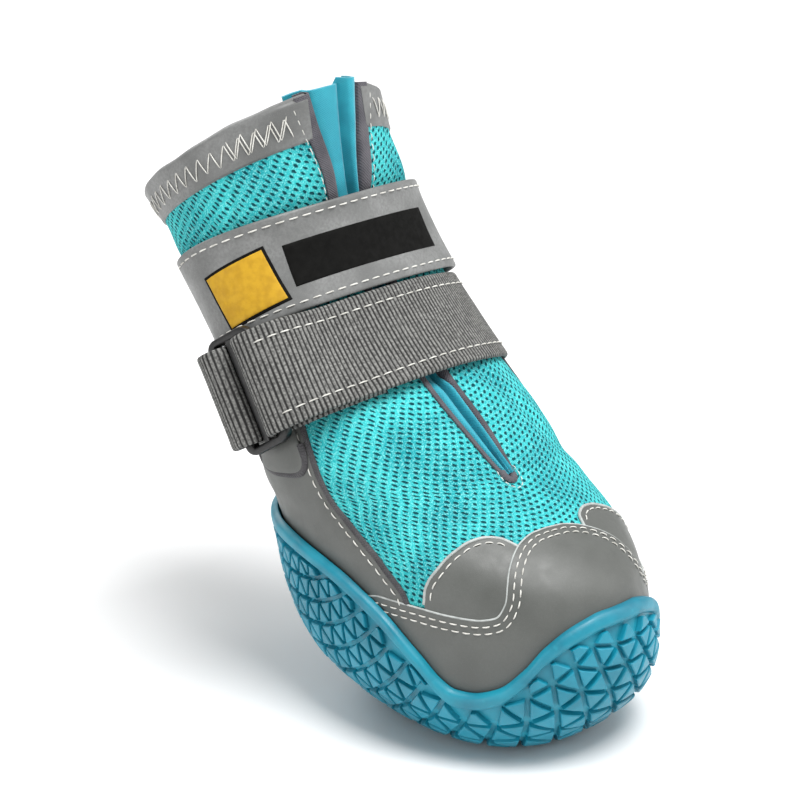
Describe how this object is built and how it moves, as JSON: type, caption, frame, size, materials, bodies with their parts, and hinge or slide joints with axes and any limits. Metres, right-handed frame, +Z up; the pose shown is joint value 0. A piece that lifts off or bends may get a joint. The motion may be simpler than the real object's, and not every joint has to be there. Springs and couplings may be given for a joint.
{
  "type": "dog boot",
  "caption": "Soft dog boot with a moulded rubber cup sole, an open mesh upper, a front gusset, and two wrap straps at the ankle.",
  "frame": {"origin": "middle of the tread pad under the middle of the sole, on the floor", "axes": "+Z up from the floor, -Y towards the toe, +X towards the boot's own left"},
  "size_m": [0.0651, 0.1118, 0.1129],
  "materials": {
    "sole_rubber": "matte moulded rubber",
    "lining": "felted lining",
    "mesh": "open mesh over cloth",
    "tongue_fabric": "smooth stretch cloth",
    "reflective_tape": "woven reflective tape",
    "webbing": "ribbed webbing",
    "ring_plastic": "moulded black plastic"
  },
  "bodies": {
    "root": {"outsole": "sole_rubber", "insole": "lining", "upper": "mesh", "tongue": "tongue_fabric", "ankle_strap": "reflective_tape", "webbing_strap": "webbing", "ring_loop": "webbing", "strap_ring": "ring_plastic"}
  },
  "joints": []
}
